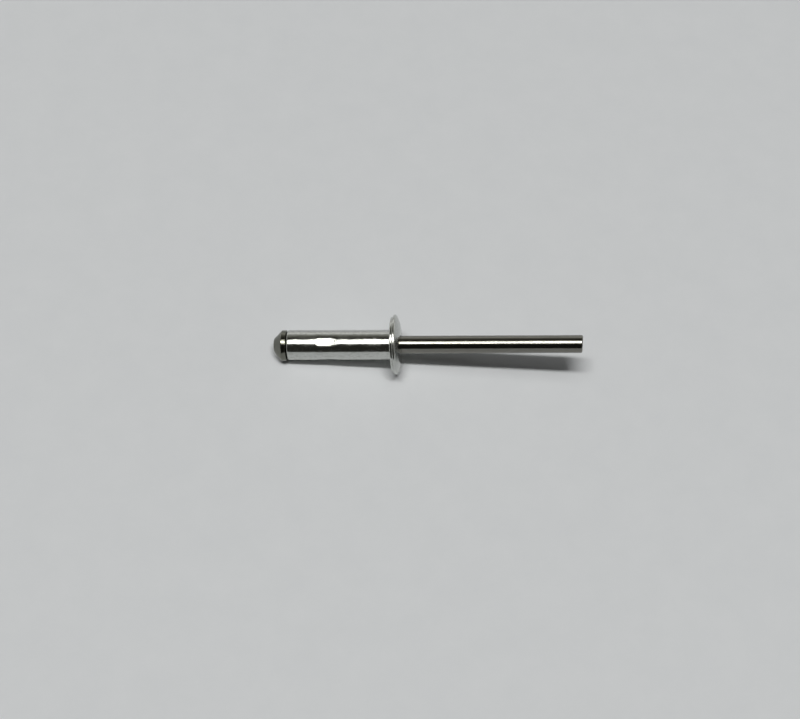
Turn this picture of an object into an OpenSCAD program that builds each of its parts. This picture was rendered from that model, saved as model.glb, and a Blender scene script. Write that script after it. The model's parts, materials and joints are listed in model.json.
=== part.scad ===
// Blind (pop) rivet, unset, lying on its side as it comes to rest:
// the rim of the flange and the rim of the mandrel head touch the surface,
// so the axis rises towards the free end of the mandrel.
// Two pieces: the sleeve (rivet body with its flange) and the mandrel (pin with its head).
// Profiles are written as [radius, station] pairs. Station 0 is the seating
// face of the flange, stations grow towards the free end of the mandrel.

/* [Sleeve] */
// Outside diameter of the rivet body
sleeve_d = 4.8; // [4.7:0.05:4.9]
// Length of the body under the flange
sleeve_l = 16.8; // [12:0.1:24]
// Bore through the body
bore_d = 3.0; // [2.95:0.05:3.2]
// Corner radius at the head end of the body
end_r = 0.18; // [0.08:0.01:0.25]
// Fillet where the body meets the flange
root_r = 0.25; // [0.15:0.05:0.5]

/* [Flange] */
// Flange diameter
flange_d = 9.65; // [9.0:0.05:10.4]
// Flange height at the bore, measured from the seating face
flange_h = 1.5; // [1.35:0.05:1.7]
// Height at which the stepped underside edge reaches full diameter
under_h = 0.54; // [0.5:0.02:0.6]
// Width of the stepped underside edge
under_w = 0.44; // [0.36:0.02:0.5]
// Straight part of the rim
rim_h = 0.16; // [0.1:0.02:0.2]
// Depth of the fine groove between the two steps of the edge
groove_d = 0.04; // [0.02:0.01:0.06]
// Height of the leaning band above the straight part
lean_h = 0.16; // [0.1:0.02:0.2]
// Height of the outer corner of the dome above that band
corner_h = 0.1; // [0.06:0.02:0.12]
// Rounding of the bore mouth
mouth_r = 0.2; // [0.1:0.02:0.26]

/* [Mandrel] */
// Shank diameter of the mandrel
shank_d = 2.85; // [2.6:0.05:2.9]
// Length of the shank beyond the flange
free_l = 29; // [25:0.1:33]
// Rounding of the free end
tail_r = 0.22; // [0.1:0.02:0.4]
// Diameter of the head
head_d = 4.78; // [4.5:0.02:4.8]
// Length of the straight rim of the head
head_rim = 0.92; // [0.7:0.02:1.2]
// Length of the conical nose
nose_l = 1.32; // [1:0.02:1.6]
// Diameter of the flat tip of the nose
nose_d = 2.1; // [1.5:0.05:2.4]
// Diameter at the bottom of the break notch
notch_d = 2.05; // [1.8:0.05:2.3]
// Width of the break notch
notch_w = 0.7; // [0.5:0.05:1]
// Distance of the break notch from the head
notch_s = 1.5; // [1.2:0.1:2.5]
// Length of the low swell in the bore mouth that keeps the mandrel in
swell_l = 0.76; // [0.5:0.02:0.8]

/* [Hidden] */

// facets of the revolved shapes
turn = 96;

sr = sleeve_d / 2;
br = bore_d / 2;
fr = flange_d / 2;
mr = shank_d / 2;
hr = head_d / 2;
nr = nose_d / 2;
kr = notch_d / 2;

// stations along the axis
rim_1 = under_h;                  // rim reaches full diameter
rim_2 = under_h + rim_h;          // rim leaves full diameter
rim_3 = rim_2 + lean_h;           // top of the leaning band
dome_0 = rim_3 + corner_h;        // outer corner of the dome
dome_r = fr - 0.3;                // radius of that corner
dome_drop = flange_h - dome_0;    // height of the dome itself
bead_r = fr - under_w;            // radius of the lower step
top_r = br + mouth_r;             // inner edge of the dome
body_end = -sleeve_l;             // head end of the sleeve
nose_0 = body_end - head_rim;     // front edge of the head's rim
nose_1 = nose_0 - nose_l;         // flat tip
tail_s = flange_h + free_l;       // free end of the mandrel

// a quarter round between two tangent points, bulging towards the corner c
function quarter(a, c, b, n) = [
    for (i = [0 : n])
        let (t = 90 * i / n)
        c + (b - c) * (1 - cos(t)) + (a - c) * (1 - sin(t))
];

// outer edge of the underside: a low bead, a fine groove and the step up to full diameter
under_edge = [
    [bead_r - 0.06, 0],
    [bead_r + 0.02, 0.04],
    [bead_r + 0.05, 0.12],
    [bead_r + 0.09, under_h - 0.2],
    [bead_r + 0.09 - groove_d, under_h - 0.14],
    [fr - 0.1, under_h - 0.07],
    [fr - 0.03, under_h - 0.03],
    [fr, rim_1]
];

// shallow dome, from its outer corner to the edge of the bore mouth
function dome(n) = [
    for (i = [0 : n])
        let (q = 1 - i / n)
        [top_r + (dome_r - top_r) * q,
         flange_h - dome_drop * pow(q, 2.4)]
];

sleeve_profile = concat(
    [[br + 0.1, body_end]],
    quarter([sr - end_r, body_end], [sr, body_end], [sr, body_end + end_r], 3),
    quarter([sr, -root_r], [sr, 0], [sr + root_r, 0], 4),
    under_edge,
    [[fr, rim_2], [fr - 0.09, rim_3], [fr - 0.17, rim_3 + corner_h * 0.55]],
    dome(8),
    quarter([top_r, flange_h], [br, flange_h], [br, flange_h - mouth_r], 3),
    [[br, body_end + 0.1]]
);

mandrel_profile = [
    [0, nose_1],
    [nr - 0.08, nose_1],
    [nr + 0.03, nose_1 + 0.07],
    [hr - 0.11, nose_0 - 0.1],
    [hr - 0.03, nose_0 - 0.03],
    [hr, nose_0 + 0.04],
    [hr, body_end - 0.2],
    [hr - 0.05, body_end - 0.12],
    [hr - 0.24, body_end - 0.06],
    [hr - 0.34, body_end],
    [mr + 0.04, body_end],
    [mr, body_end + 0.05],
    [mr, body_end + notch_s],
    [kr, body_end + notch_s + notch_w * 0.35],
    [kr, body_end + notch_s + notch_w * 0.65],
    [mr, body_end + notch_s + notch_w],
    [mr, flange_h - swell_l],
    [br - 0.005, flange_h - mouth_r - (swell_l - mouth_r) * 0.4],
    [mr, flange_h],
    [mr, tail_s - tail_r],
    [mr - tail_r * 0.12, tail_s - tail_r * 0.45],
    [mr - tail_r * 0.45, tail_s - tail_r * 0.12],
    [mr - tail_r, tail_s],
    [0, tail_s]
];

// resting angle: the line through the two rims that touch the surface
touch_head = [hr, nose_0 + 0.04];
touch_rim = [fr, rim_1];
tilt = atan2(touch_rim[0] - touch_head[0], touch_rim[1] - touch_head[1]);

outline = concat(sleeve_profile, mandrel_profile);
x_low = min([for (p = outline) p[1] * cos(tilt) - p[0] * sin(tilt)]);
x_high = max([for (p = outline) p[1] * cos(tilt) + p[0] * sin(tilt)]);
z_low = min([for (p = outline) p[1] * sin(tilt) - p[0] * cos(tilt)]);

// lays a turned piece down, free end of the mandrel towards +X,
// with the origin on the surface under the middle of the rivet
module lay_down() {
    translate([-(x_low + x_high) / 2, 0, -z_low])
        rotate([0, 90 - tilt, 0])
            children();
}

// Rivet body: thin tube and low domed flange, one cold-formed piece
module sleeve() {
    color([0.80, 0.81, 0.80])
        lay_down()
            rotate_extrude($fn = turn)
                polygon(sleeve_profile);
}

// Mandrel: drawn pin with an upset conical head that bears on the end of the sleeve
module mandrel() {
    color([0.47, 0.45, 0.42])
        lay_down()
            rotate_extrude($fn = turn)
                polygon(mandrel_profile);
}

sleeve();
mandrel();
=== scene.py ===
import json
import math

import bpy
import numpy as np
from mathutils import Matrix, Vector


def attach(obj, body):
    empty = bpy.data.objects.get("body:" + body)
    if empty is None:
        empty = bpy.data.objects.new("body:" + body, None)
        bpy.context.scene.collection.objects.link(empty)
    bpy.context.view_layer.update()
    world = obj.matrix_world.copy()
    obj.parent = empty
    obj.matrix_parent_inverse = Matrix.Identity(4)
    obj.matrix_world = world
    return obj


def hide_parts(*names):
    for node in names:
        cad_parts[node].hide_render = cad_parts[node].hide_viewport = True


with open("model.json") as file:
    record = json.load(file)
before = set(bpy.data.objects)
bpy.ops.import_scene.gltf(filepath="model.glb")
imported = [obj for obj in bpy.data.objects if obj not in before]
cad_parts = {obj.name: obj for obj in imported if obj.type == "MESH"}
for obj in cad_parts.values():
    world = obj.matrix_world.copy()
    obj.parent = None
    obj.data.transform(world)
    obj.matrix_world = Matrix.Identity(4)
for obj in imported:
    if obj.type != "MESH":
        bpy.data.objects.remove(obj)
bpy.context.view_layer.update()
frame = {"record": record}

MM = 0.001

# ---------------------------------------------------------------- rivet axis
# The record's mounts give the axis: mandrel_end lies on it, seat_face gives
# the plane of station 0 (the seating face of the flange).
mounts = {m["name"]: m for m in frame["record"]["mounts"]}
d = Vector(mounts["mandrel_end"]["axis"]).normalized()
on_axis = Vector(mounts["mandrel_end"]["pos_m"])
seat = Vector(mounts["seat_face"]["pos_m"])
s0 = on_axis + d * (seat - on_axis).dot(d)
e_front = Vector((0.0, -1.0, 0.0))
e_up = d.cross(e_front).normalized()
if e_up.z < 0:
    e_up = -e_up


# ---------------------------------------------------------------- camera
ELEV = math.radians(58.0)
AZIM = math.radians(-1.42)
ROLL = math.radians(5.08)
FOCAL = 1800.0           # in pixels of an 800 x 719 picture
PX_PER_MM = 6.23
AIM = (391.8, 344.68)    # where station 0 of the axis is seen


def make_camera():
    back = Vector((math.sin(AZIM) * math.cos(ELEV), -math.cos(AZIM) * math.cos(ELEV), math.sin(ELEV)))
    right = Vector((math.cos(AZIM), math.sin(AZIM), 0.0))
    up = back.cross(right)
    r2 = right * math.cos(ROLL) + up * math.sin(ROLL)
    u2 = up * math.cos(ROLL) - right * math.sin(ROLL)
    depth = FOCAL / PX_PER_MM * MM
    x = (AIM[0] - 400.0) / FOCAL * depth
    y = (359.5 - AIM[1]) / FOCAL * depth
    place = s0 - r2 * x - u2 * y + back * depth
    data = bpy.data.cameras.new("camera")
    data.sensor_fit = "HORIZONTAL"
    data.sensor_width = 36.0
    data.lens = FOCAL / 800.0 * 36.0
    data.clip_start, data.clip_end = 0.005, 20.0
    data.dof.use_dof = False
    cam = bpy.data.objects.new("camera", data)
    bpy.context.collection.objects.link(cam)
    m = Matrix((r2, u2, back)).transposed().to_4x4()
    m.translation = place
    cam.matrix_world = m
    bpy.context.scene.camera = cam
    return cam


make_camera()


# ---------------------------------------------------------------- profiles
def fillet(points, n=6, keep=0.012, step=0.3):
    """points: (station, radius, corner radius). Returns a dense profile whose corners are arcs, with support points next to each arc."""
    out = []
    last = len(points) - 1
    for i, (s, r, c) in enumerate(points):
        p = np.array((s, r), float)
        if c <= 0 or i in (0, last):
            out.append([p])
            continue
        a = np.array(points[i - 1][:2], float) - p
        b = np.array(points[i + 1][:2], float) - p
        la, lb = np.linalg.norm(a), np.linalg.norm(b)
        a, b = a / la, b / lb
        turn = math.acos(max(-1.0, min(1.0, float(a @ b))))
        cut = min(c / math.tan(turn / 2), la * 0.49, lb * 0.49)
        rad = cut * math.tan(turn / 2)
        mid = (a + b) / np.linalg.norm(a + b)
        centre = p + mid * rad / math.sin(turn / 2)
        p0, p1 = p + a * cut, p + b * cut
        v0, v1 = p0 - centre, p1 - centre
        ang = math.acos(max(-1.0, min(1.0, float(v0 @ v1) / rad / rad)))
        k = max(2, int(math.ceil(n * ang / (math.pi / 2))))
        arc = []
        for j in range(k + 1):
            t = j / k
            if ang < 1e-6:
                v = v0
            else:
                v = (math.sin((1 - t) * ang) * v0 + math.sin(t * ang) * v1) / math.sin(ang)
            arc.append(centre + v)
        out.append(arc)
    flat = []
    for i, group in enumerate(out):
        if flat:
            a, b = flat[-1], group[0]
            gap = np.linalg.norm(b - a)
            if gap > keep * 3:
                u = (b - a) / gap
                flat.append(a + u * keep)
                inner = gap - 2 * keep
                k = int(math.ceil(inner / step))
                for j in range(1, k):
                    flat.append(a + u * (keep + inner * j / k))
                flat.append(b - u * keep)
            elif gap < 1e-7:
                group = group[1:]
        flat.extend(group)
    return np.array(flat)


def lathe(name, profile, turn=192, closed=False, shape=None):
    """Turns a profile of (station, radius) in mm about the rivet's axis. shape(s, phi, r) may move the radius."""
    phi = np.arange(turn) * 2 * math.pi / turn
    s = np.repeat(profile[:, 0][:, None], turn, 1)
    r = np.repeat(profile[:, 1][:, None], turn, 1)
    p = np.repeat(phi[None, :], len(profile), 0)
    if shape is not None:
        s, r = shape(s, p, r)
    D, N, F = (np.array(v) for v in (d, e_up, e_front))
    S = np.array(s0)
    pts = S + MM * (
        s[..., None] * D
        + r[..., None] * (np.cos(p)[..., None] * N + np.sin(p)[..., None] * F)
    )
    verts, rows = [], []
    for i in range(len(profile)):
        if profile[i, 1] < 1e-9:
            rows.append([len(verts)])
            verts.append(tuple(S + MM * s[i, 0] * D))
        else:
            rows.append(list(range(len(verts), len(verts) + turn)))
            verts.extend(map(tuple, pts[i]))
    faces = []
    pairs = list(zip(rows[:-1], rows[1:]))
    if closed:
        pairs.append((rows[-1], rows[0]))
    for a, b in pairs:
        for j in range(turn):
            k = (j + 1) % turn
            if len(a) == 1:
                faces.append((a[0], b[k], b[j]))
            elif len(b) == 1:
                faces.append((a[j], a[k], b[0]))
            else:
                faces.append((a[j], a[k], b[k], b[j]))
    mesh = bpy.data.meshes.new(name)
    mesh.from_pydata(verts, [], faces)
    mesh.update()
    mesh.shade_smooth()
    obj = bpy.data.objects.new(name, mesh)
    bpy.context.collection.objects.link(obj)
    return obj


def smooth(x, a, b):
    """0 below a, 1 above b, smooth between."""
    t = np.clip((np.asarray(x, float) - a) / (b - a), 0.0, 1.0)
    return t * t * (3 - 2 * t)


def bump_at(x, c, w):
    """A bell of half width w round c."""
    return np.exp(-(((np.asarray(x, float) - c) / w) ** 2))


def waves(s, phi, seed, length, n=9):
    """Smooth seeded unevenness over the turned surface, about -1 to 1, with features of about the given length in mm."""
    rng = np.random.default_rng(seed)
    out = np.zeros(np.broadcast(s, phi).shape)
    for _ in range(n):
        k = 2 * math.pi / length * rng.uniform(0.6, 1.3)
        t = rng.uniform(0, math.pi)
        m = round(k * math.sin(t) * 2.4)
        out = out + np.cos(k * math.cos(t) * s + m * phi + rng.uniform(0, 2 * math.pi))
    return out / math.sqrt(n)


# the picture's "down" round the axis, for the small leans and lumps this rivet has
def lower_side(phi):
    return 0.848 * np.sin(phi) - 0.525 * np.cos(phi)


# sleeve, mm
SR, BR, FR = 2.4, 1.5, 4.825
L = 16.8
FH = 1.5

sleeve_corners = [
    (-L + 0.12, BR, 0.03),
    (-L, BR + 0.1, 0.04),
    (-L, SR + 0.02, 0.20),
    (-L + 0.5, SR + 0.035, 0.4),
    (-L + 3.4, SR + 0.02, 1.5),
    (-1.5, SR, 1.0),
    (-0.22, SR + 0.03, 0.5),
    (0.0, SR + 0.05, 0.22),
    (0.0, 2.92, 0.03),
    (0.035, 2.98, 0.03),
    (0.035, 3.46, 0.04),
    (0.0, 3.58, 0.05),
    (0.0, 4.45, 0.24),
    (0.345, 4.46, 0.03),
    (0.385, 4.40, 0.02),
    (0.46, 4.79, 0.05),
    (0.56, 4.83, 0.10),
    (0.76, 4.83, 0.08),
    (0.90, 4.70, 0.10),
    (0.99, 4.48, 0.18),
    (1.31, 3.45, 1.5),
    (1.46, 2.7, 1.2),
    (FH, 2.1, 0.3),
    (FH, BR, 0.34),
    (FH - 0.55, BR, 0.03),
]
sleeve_profile = fillet(sleeve_corners, n=8, step=0.09)

# four marks of the tool that closed the body on the mandrel: angle round the axis, depth
MARKS = [(21.5, 0.095), (111.5, 0.085), (201.5, 0.09), (291.5, 0.04)]


def sleeve_shape(s, phi, r):
    s, r = s.copy(), r.copy()
    body = (r > 2.2) & (s < 0.0) & (r < 2.6)
    # soft flats pressed into the body, each with a few cross ribs; all but the first also have three small dimples at
    # one edge
    along = smooth(s, -12.10, -11.70) * (1 - smooth(s, -10.1, -7.9))
    ribs = 0.0022 * np.cos(2 * math.pi * (s + 11.66) / 0.43)
    for a, depth in MARKS:
        off = np.angle(np.exp(1j * (phi - math.radians(a))))
        r = r - np.where(body, (depth + ribs) * np.exp(-((off / 0.30) ** 2)) * along, 0.0)
        for c in (-11.45, -10.98, -10.53):
            pit = np.exp(-(((s - c) / 0.13) ** 2) - ((off * SR / 0.20) ** 2))
            r = r - np.where(body, 0.80 * depth * pit if a > 100 else 0.0, 0.0)
    # soft unevenness of a tumbled part
    r = r + np.where(body, 0.0026 * waves(s, phi, 3, 2.2) + 0.0010 * waves(s, phi, 4, 1.0), 0.0)
    # fine rings left by the tool near the flange
    for c, w, h in ((-3.95, 0.10, 0.005), (-3.1, 0.09, 0.006), (-2.35, 0.08, 0.004), (-1.5, 0.10, 0.006)):
        r = r - np.where(body, h * bump_at(s, c, w), 0.0)
    # the flange sits a little askew on the body, and its rim is not quite round
    lean = smooth(r, 2.5, 3.2) * smooth(s, -0.1, 0.0)
    s = s + lean * 0.022 * r * lower_side(phi)
    rim = smooth(r, 4.1, 4.4)
    r = r + rim * (0.010 * waves(s * 0.3, phi, 8, 3.0) - 0.012)
    top = smooth(s, 0.8, 1.0) * (r > 1.6)
    s = s + top * (0.006 * waves(r, phi, 12, 1.9) + 0.03 * bump_at(r, 3.3, 0.8) * np.abs(lower_side(phi)))
    return s, r


sleeve = lathe("rivet_sleeve", sleeve_profile, turn=240, closed=True, shape=sleeve_shape)

# mandrel, mm
MR, HR = 1.425, 2.40
B = -L
TAIL = FH + 29.0
mandrel_corners = [
    (B - 2.24, 0.0, 0),
    (B - 2.24, 1.05, 0.12),
    (B - 0.98, HR - 0.05, 0.14),
    (B - 0.88, HR, 0.08),
    (B - 0.20, HR, 0.07),
    (B - 0.12, HR - 0.34, 0.04),
    (B - 0.0, HR - 0.47, 0.03),
    (B, MR, 0.05),
    (B + 1.5, MR, 0.05),
    (B + 1.75, 1.025, 0.05),
    (B + 1.95, 1.025, 0.05),
    (B + 2.2, MR, 0.05),
    (FH - 0.76, MR, 0.05),
    (FH - 0.42, BR - 0.005, 0.05),
    (FH, MR, 0.05),
    (TAIL, MR, 0.22),
    (TAIL, 0.0, 0),
]
mandrel_profile = fillet(mandrel_corners, n=10, step=0.16)


def mandrel_shape(s, phi, r):
    s, r = s.copy(), r.copy()
    low = lower_side(phi)
    # the pressed head sits a little off the axis, and its nose more so
    off = 0.20 * smooth(-s, -B + 0.05, -B + 0.2) * (1 - 0.6 * smooth(-s, -B + 1.95, -B + 2.24))
    off = off + 0.19 * bump_at(s, B - 1.50, 0.50)
    r = r + np.where((r > 0.3) & (low > 0), off * low ** 3, 0.0)
    # where the head bears on the surface its rim keeps to the turned size
    r = r - np.where(r > 2.2, 0.054 * np.exp(-(((phi - math.pi) / 0.45) ** 2)), 0.0)
    head = smooth(-s, -B + 0.1, -B + 0.2) * (r > 0.3)
    r = r + head * 0.006 * waves(s, phi, 21, 1.4)
    # cropped end: slightly out of square
    end = smooth(s, TAIL - 0.5, TAIL)
    s = s - end * 0.055 * low * r
    shank = (s > FH + 0.3) & (r > 1.2)
    r = r + np.where(shank, 0.0012 * waves(s * 0.25, phi, 30, 1.2), 0.0)
    return s, r


mandrel = lathe("mandrel_pin", mandrel_profile, turn=192, shape=mandrel_shape)


# ---------------------------------------------------------------- materials
TILT = math.atan2(d.z, d.x)


class Mat:
    """A node material whose coordinates are (station, y, radial) in mm along the rivet's axis."""

    def __init__(self, name):
        self.m = bpy.data.materials.new(name)
        self.m.use_nodes = True
        self.t = self.m.node_tree
        self.bsdf = self.t.nodes["Principled BSDF"]
        tc = self.t.nodes.new("ShaderNodeTexCoord")
        self.co = self.mapping(tc.outputs["Object"], scale=(1000, 1000, 1000), rot=(0, TILT, 0))

    def link(self, a, b):
        self.t.links.new(a, b)

    def mapping(self, vec, scale=(1, 1, 1), rot=(0, 0, 0), loc=(0, 0, 0)):
        n = self.t.nodes.new("ShaderNodeMapping")
        n.inputs["Scale"].default_value = scale
        n.inputs["Rotation"].default_value = rot
        n.inputs["Location"].default_value = loc
        self.link(vec, n.inputs["Vector"])
        return n.outputs["Vector"]

    def noise(self, vec, scale, detail=2.0, rough=0.5, distort=0.0):
        n = self.t.nodes.new("ShaderNodeTexNoise")
        n.inputs["Scale"].default_value = scale
        n.inputs["Detail"].default_value = detail
        n.inputs["Roughness"].default_value = rough
        n.inputs["Distortion"].default_value = distort
        self.link(vec, n.inputs["Vector"])
        return n.outputs["Fac"]

    def ramp(self, fac, stops):
        n = self.t.nodes.new("ShaderNodeValToRGB")
        el = n.color_ramp.elements
        while len(el) < len(stops):
            el.new(0.5)
        for e, (p, c) in zip(el, stops):
            e.position = p
            e.color = (c, c, c, 1) if isinstance(c, (int, float)) else (*c, 1)
        self.link(fac, n.inputs["Fac"])
        return n.outputs["Color"]

    def math(self, op, a, b=0.0):
        n = self.t.nodes.new("ShaderNodeMath")
        n.operation = op
        for i, v in enumerate((a, b)):
            if isinstance(v, (int, float)):
                n.inputs[i].default_value = v
            else:
                self.link(v, n.inputs[i])
        return n.outputs[0]

    def range(self, v, a, b, c, e):
        n = self.t.nodes.new("ShaderNodeMapRange")
        n.interpolation_type = "SMOOTHSTEP"
        for k, x in (("From Min", a), ("From Max", b), ("To Min", c), ("To Max", e)):
            n.inputs[k].default_value = x
        self.link(v, n.inputs["Value"])
        return n.outputs["Result"]

    def mix(self, fac, a, b):
        n = self.t.nodes.new("ShaderNodeMix")
        n.data_type = "RGBA"
        self.link(fac, n.inputs["Factor"])
        for k, v in ((6, a), (7, b)):
            if isinstance(v, tuple):
                n.inputs[k].default_value = (*v, 1)
            else:
                self.link(v, n.inputs[k])
        return n.outputs[2]

    def station(self):
        n = self.t.nodes.new("ShaderNodeSeparateXYZ")
        self.link(self.co, n.inputs[0])
        return n.outputs["X"]

    def bump(self, height, distance, strength=1.0, normal=None):
        n = self.t.nodes.new("ShaderNodeBump")
        n.inputs["Strength"].default_value = strength
        n.inputs["Distance"].default_value = distance
        self.link(height, n.inputs["Height"])
        if normal is not None:
            self.link(normal, n.inputs["Normal"])
        return n.outputs["Normal"]


S0_STATION = 1000.0 * (s0.x * math.cos(TILT) + s0.z * math.sin(TILT))


def sleeve_material():
    k = Mat("sleeve_metal")
    long_co = k.mapping(k.co, scale=(0.28, 1.0, 1.0))
    ring_co = k.mapping(k.co, scale=(1.0, 0.06, 0.06))
    broad = k.noise(k.co, 0.8, 3.0, 0.55)
    streak = k.noise(long_co, 3.0, 3.0, 0.55, 0.2)
    mottle = k.noise(k.co, 3.4, 4.0, 0.6, 0.3)
    fine = k.noise(k.co, 12.0, 3.0, 0.6)
    rings = k.noise(ring_co, 4.2, 3.0, 0.65)
    near = k.range(k.station(), S0_STATION - 5.2, S0_STATION - 3.6, 0.0, 1.0)
    # the pressed face of the dome is duller than the rolled body
    dome = k.range(k.station(), S0_STATION + 0.80, S0_STATION + 1.00, 0.0, 1.0)
    stain = k.range(k.noise(k.mapping(k.co, scale=(0.45, 1.0, 1.0), loc=(3, 1, 7)), 3.4, 3.0, 0.55), 0.46, 0.70, 0.0, 1.0)
    colour = k.ramp(mottle, [(0.30, (0.485, 0.495, 0.472)), (0.52, (0.56, 0.57, 0.548)), (0.72, (0.61, 0.618, 0.598))])
    colour = k.mix(stain, colour, (0.45, 0.458, 0.43))
    inner = k.range(k.station(), S0_STATION + 1.15, S0_STATION + 1.48, 0.0, 1.0)
    outer = k.math("MULTIPLY", dome, k.math("SUBTRACT", 1.0, inner))
    dull = k.ramp(k.noise(k.co, 2.6, 5.0, 0.65), [(0.30, (0.43, 0.44, 0.42)), (0.70, (0.56, 0.57, 0.55))])
    colour = k.mix(dome, colour, dull)
    k.link(colour, k.bsdf.inputs["Base Color"])
    rough = k.range(streak, 0.35, 0.68, 0.10, 0.17)
    rough = k.math("ADD", rough, k.math("MULTIPLY", stain, 0.09))
    rough = k.math("ADD", rough, k.math("MULTIPLY", k.math("SUBTRACT", broad, 0.5), 0.08))
    rough = k.math("ADD", rough, k.math("MULTIPLY", outer, k.range(mottle, 0.3, 0.7, 0.05, 0.15)))
    k.link(rough, k.bsdf.inputs["Roughness"])
    n = k.bump(streak, 6.5e-6)
    n = k.bump(mottle, 5.5e-6, normal=n)
    n = k.bump(fine, 1.2e-6, normal=n)
    n = k.bump(k.math("MULTIPLY", rings, near), 1.1e-5, normal=n)
    n = k.bump(k.math("MULTIPLY", k.noise(k.co, 5.0, 3.0, 0.6), outer), 1.1e-5, normal=n)
    k.link(n, k.bsdf.inputs["Normal"])
    k.bsdf.inputs["Metallic"].default_value = 1.0
    return k.m


def mandrel_material():
    k = Mat("mandrel_steel")
    drawn = k.mapping(k.co, scale=(0.10, 1.0, 1.0))
    lines = k.noise(drawn, 9.0, 3.0, 0.6)
    broad = k.noise(k.co, 0.7, 3.0, 0.6)
    mottle = k.noise(k.co, 4.0, 4.0, 0.6)
    head = k.range(k.station(), S0_STATION - 16.9, S0_STATION - 16.4, 1.0, 0.0)
    shank_c = k.ramp(lines, [(0.30, (0.175, 0.170, 0.150)), (0.70, (0.235, 0.230, 0.208))])
    head_c = k.ramp(mottle, [(0.30, (0.140, 0.142, 0.120)), (0.70, (0.205, 0.206, 0.180))])
    # the cone of the head is duller than its rolled rim
    cone = k.range(k.station(), S0_STATION - 17.95, S0_STATION - 17.75, 1.0, 0.0)
    k.link(k.mix(head, shank_c, head_c), k.bsdf.inputs["Base Color"])
    r1 = k.range(lines, 0.3, 0.7, 0.10, 0.15)
    r2 = k.math("ADD", k.range(mottle, 0.3, 0.7, 0.10, 0.15), k.math("MULTIPLY", cone, 0.10))
    mixr = k.t.nodes.new("ShaderNodeMix")
    mixr.data_type = "FLOAT"
    k.link(head, mixr.inputs[0])
    k.link(r1, mixr.inputs[2])
    k.link(r2, mixr.inputs[3])
    rough = k.math("ADD", mixr.outputs[0], k.math("MULTIPLY", k.math("SUBTRACT", broad, 0.5), 0.06))
    k.link(rough, k.bsdf.inputs["Roughness"])
    n = k.bump(lines, 2.0e-6)
    n = k.bump(k.math("MULTIPLY", mottle, head), 5.0e-6, normal=n)
    n = k.bump(k.math("MULTIPLY", mottle, cone), 6.0e-6, normal=n)
    k.link(n, k.bsdf.inputs["Normal"])
    k.bsdf.inputs["Metallic"].default_value = 1.0
    return k.m


sleeve.data.materials.append(sleeve_material())
mandrel.data.materials.append(mandrel_material())

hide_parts("sleeve")
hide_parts("mandrel")
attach(sleeve, "root")
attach(mandrel, "root")


# ---------------------------------------------------------------- stage
def make_floor():
    mesh = bpy.data.meshes.new("floor")
    h = 2.0
    mesh.from_pydata([(-h, -h, 0), (h, -h, 0), (h, h, 0), (-h, h, 0)], [], [(0, 1, 2, 3)])
    floor = bpy.data.objects.new("floor", mesh)
    bpy.context.collection.objects.link(floor)
    m = bpy.data.materials.new("paper")
    m.use_nodes = True
    t = m.node_tree
    b = t.nodes["Principled BSDF"]
    tc = t.nodes.new("ShaderNodeTexCoord")
    # faint cloudiness of plain paper, and fine fibres
    cloud = t.nodes.new("ShaderNodeTexNoise")
    cloud.inputs["Scale"].default_value = 160.0
    cloud.inputs["Detail"].default_value = 5.0
    cloud.inputs["Roughness"].default_value = 0.65
    t.links.new(tc.outputs["Object"], cloud.inputs["Vector"])
    tone = t.nodes.new("ShaderNodeValToRGB")
    el = tone.color_ramp.elements
    el[0].position, el[0].color = 0.25, (0.738, 0.757, 0.768, 1)
    el[1].position, el[1].color = 0.75, (0.766, 0.783, 0.793, 1)
    t.links.new(cloud.outputs["Fac"], tone.inputs["Fac"])
    t.links.new(tone.outputs["Color"], b.inputs["Base Color"])
    fibre = t.nodes.new("ShaderNodeTexNoise")
    fibre.inputs["Scale"].default_value = 2500.0
    fibre.inputs["Detail"].default_value = 2.0
    t.links.new(tc.outputs["Object"], fibre.inputs["Vector"])
    bump = t.nodes.new("ShaderNodeBump")
    bump.inputs["Strength"].default_value = 0.5
    bump.inputs["Distance"].default_value = 0.00001
    t.links.new(fibre.outputs["Fac"], bump.inputs["Height"])
    t.links.new(bump.outputs["Normal"], b.inputs["Normal"])
    b.inputs["Roughness"].default_value = 0.9
    b.inputs["Specular IOR Level"].default_value = 0.0
    mesh.materials.append(m)
    return floor


make_floor()


def area(name, direction, distance, size, size_y, radiance, colour=(1, 1, 1)):
    data = bpy.data.lights.new(name, "AREA")
    data.shape = "RECTANGLE"
    data.size, data.size_y = size, size_y
    data.energy = radiance * math.pi * size * size_y
    data.color = colour
    obj = bpy.data.objects.new(name, data)
    bpy.context.collection.objects.link(obj)
    v = Vector(direction).normalized()
    # local x along the world X axis as far as the direction allows
    z = v
    x = (Vector((1, 0, 0)) - z * z.x).normalized()
    y = z.cross(x)
    m = Matrix((x, y, z)).transposed().to_4x4()
    m.translation = v * distance
    obj.matrix_world = m
    return obj


KEY = (-0.04, -0.180, 0.983)
area("key", KEY, 2.5, 1.45, 0.18, 42.0, (1.0, 0.995, 0.985))
# the dimmer, wider face of the soft box round its hot core, as the metal shows it
glow = area("glow", (-0.04, -0.139, 0.990), 2.6, 1.9, 1.55, 3.4, (1.0, 0.995, 0.93))
glow.visible_diffuse = False
# and as it lights the paper: its far half is the brighter one
for name, angle, radiance in (("soft_back", 89.1, 1.75), ("soft_front", 70.1, 1.15)):
    a = math.radians(angle)
    soft = area(name, (-0.04, -math.cos(a), math.sin(a)), 2.6, 1.9, 0.86, radiance, (1.0, 1.0, 0.99))
    soft.visible_glossy = False


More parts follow.
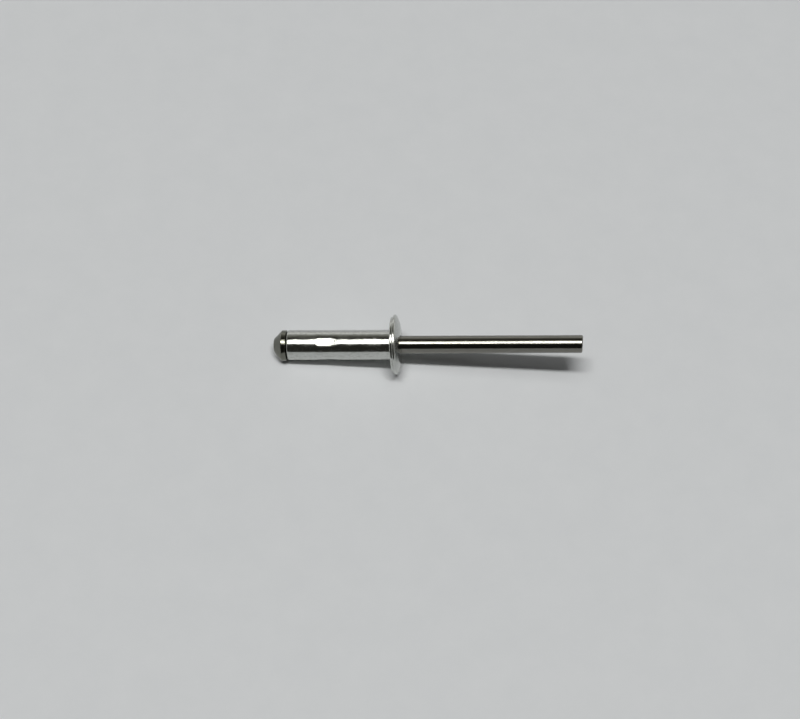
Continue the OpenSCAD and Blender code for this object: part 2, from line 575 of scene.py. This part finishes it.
def make_world():
    w = bpy.data.worlds.new("world")
    bpy.context.scene.world = w
    w.use_nodes = True
    t = w.node_tree
    bg = t.nodes["Background"]
    tc = t.nodes.new("ShaderNodeTexCoord")
    sx = t.nodes.new("ShaderNodeSeparateXYZ")
    t.links.new(tc.outputs["Generated"], sx.inputs[0])
    neg = t.nodes.new("ShaderNodeMath")
    neg.operation = "MULTIPLY"
    neg.inputs[1].default_value = -1.0
    t.links.new(sx.outputs["Y"], neg.inputs[0])
    at = t.nodes.new("ShaderNodeMath")
    at.operation = "ARCTAN2"
    t.links.new(sx.outputs["Z"], at.inputs[0])
    t.links.new(neg.outputs[0], at.inputs[1])
    sc = t.nodes.new("ShaderNodeMath")
    sc.operation = "DIVIDE"
    sc.inputs[1].default_value = math.pi
    # below the horizon the surroundings go on as just above it
    up = t.nodes.new("ShaderNodeMath")
    up.operation = "ABSOLUTE"
    t.links.new(at.outputs[0], up.inputs[0])
    t.links.new(up.outputs[0], sc.inputs[0])
    ramp = t.nodes.new("ShaderNodeValToRGB")
    dark, grey = (1.0, 1.0, 0.86), (1.0, 1.0, 0.97)
    stops = [
        (0, 0.034, dark), (12, 0.028, dark), (30, 0.022, dark), (45, 0.022, dark), (95, 0.022, dark),
        (112, 0.035, dark), (125, 0.11, dark), (136, 0.24, dark), (146, 0.42, grey), (154, 0.84, grey),
        (166, 0.75, grey), (180, 0.52, grey),
    ]
    el = ramp.color_ramp.elements
    while len(el) < len(stops):
        el.new(0.5)
    for e, (a, v, c) in zip(el, stops):
        e.position = a / 180.0
        e.color = (v * c[0], v * c[1], v * c[2], 1)
    t.links.new(sc.outputs[0], ramp.inputs[0])
    # the two ends of the room are lighter than the strip facing the rivet's side
    size = t.nodes.new("ShaderNodeMath")
    size.operation = "ABSOLUTE"
    t.links.new(sx.outputs["X"], size.inputs[0])
    ends = t.nodes.new("ShaderNodeMapRange")
    ends.interpolation_type = "SMOOTHSTEP"
    for key, value in (("From Min", 0.42), ("From Max", 0.90), ("To Min", 0.0), ("To Max", 1.0)):
        ends.inputs[key].default_value = value
    t.links.new(size.outputs[0], ends.inputs["Value"])
    height = t.nodes.new("ShaderNodeMath")
    height.operation = "ABSOLUTE"
    t.links.new(sx.outputs["Z"], height.inputs[0])
    wall = t.nodes.new("ShaderNodeValToRGB")
    wall.color_ramp.interpolation = "EASE"
    low_end, high_end = wall.color_ramp.elements
    low_end.position, low_end.color = 0.02, (0.20, 0.20, 0.19, 1)
    high_end.position, high_end.color = 0.75, (0.62, 0.62, 0.60, 1)
    t.links.new(height.outputs[0], wall.inputs[0])
    room = t.nodes.new("ShaderNodeMix")
    room.data_type = "RGBA"
    room.blend_type = "LIGHTEN"
    t.links.new(ends.outputs["Result"], room.inputs["Factor"])
    t.links.new(ramp.outputs[0], room.inputs[6])
    t.links.new(wall.outputs[0], room.inputs[7])
    t.links.new(room.outputs[2], bg.inputs["Color"])
    bg.inputs["Strength"].default_value = 1.0
    # the surroundings show in the metal; the paper is lit by the lamps
    w.cycles_visibility.diffuse = False


make_world()
bpy.context.scene.view_settings.view_transform = "Standard"
